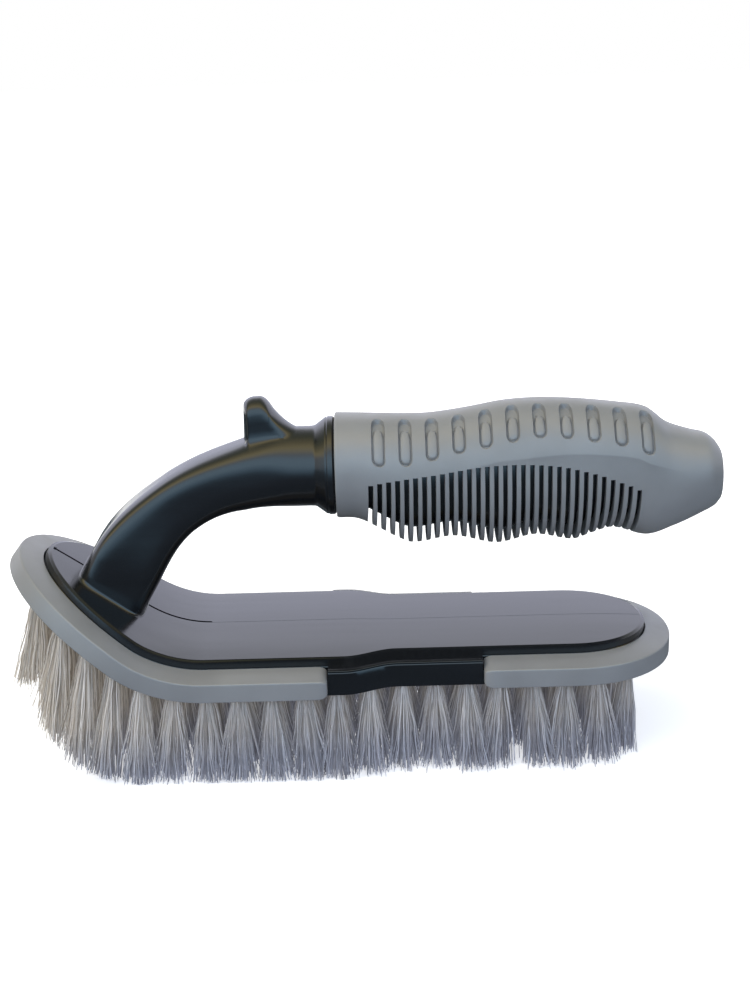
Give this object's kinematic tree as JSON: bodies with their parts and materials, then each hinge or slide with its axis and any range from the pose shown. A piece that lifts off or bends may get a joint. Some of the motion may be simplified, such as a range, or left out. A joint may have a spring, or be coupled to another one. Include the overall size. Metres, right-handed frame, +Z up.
{
  "type": "tire brush",
  "caption": "Hand brush for scrubbing tyres: a curled-toe tufted block with soft bumpers, joined by an arched neck with a thumb horn to a ribbed soft grip.",
  "frame": {"origin": "centre of the box that bounds the brush, at the level of its bristle tips", "axes": "+X from the curled toe towards the end of the grip, +Y to the brush's left, +Z up from the bristle tips to the handle"},
  "size_m": [0.25, 0.0822, 0.1269],
  "materials": {
    "black_plastic": "gloss",
    "grey_rubber": "satin",
    "bristle": "satin fibre",
    "steel": "plated"
  },
  "bodies": {
    "root": {"handle_body": "black_plastic", "brush_block": "black_plastic", "grip_sleeve": "grey_rubber", "front_bumper": "grey_rubber", "rear_bumper": "grey_rubber", "tuft_row_01": "bristle", "tuft_row_02": "bristle", "tuft_row_03": "bristle", "tuft_row_04": "bristle", "tuft_row_05": "bristle", "tuft_row_06": "bristle", "tuft_row_07": "bristle", "tuft_row_08": "bristle", "tuft_row_09": "bristle", "tuft_row_10": "bristle", "tuft_row_11": "bristle", "tuft_row_12": "bristle", "tuft_row_13": "bristle", "tuft_row_14": "bristle", "tuft_row_15": "bristle", "tuft_row_16": "bristle", "tuft_row_17": "bristle", "tuft_row_18": "bristle", "tuft_row_19": "bristle", "tuft_row_20": "bristle", "deck_screw_1": "steel", "deck_screw_2": "steel", "deck_screw_3": "steel", "deck_screw_4": "steel"}
  },
  "joints": []
}
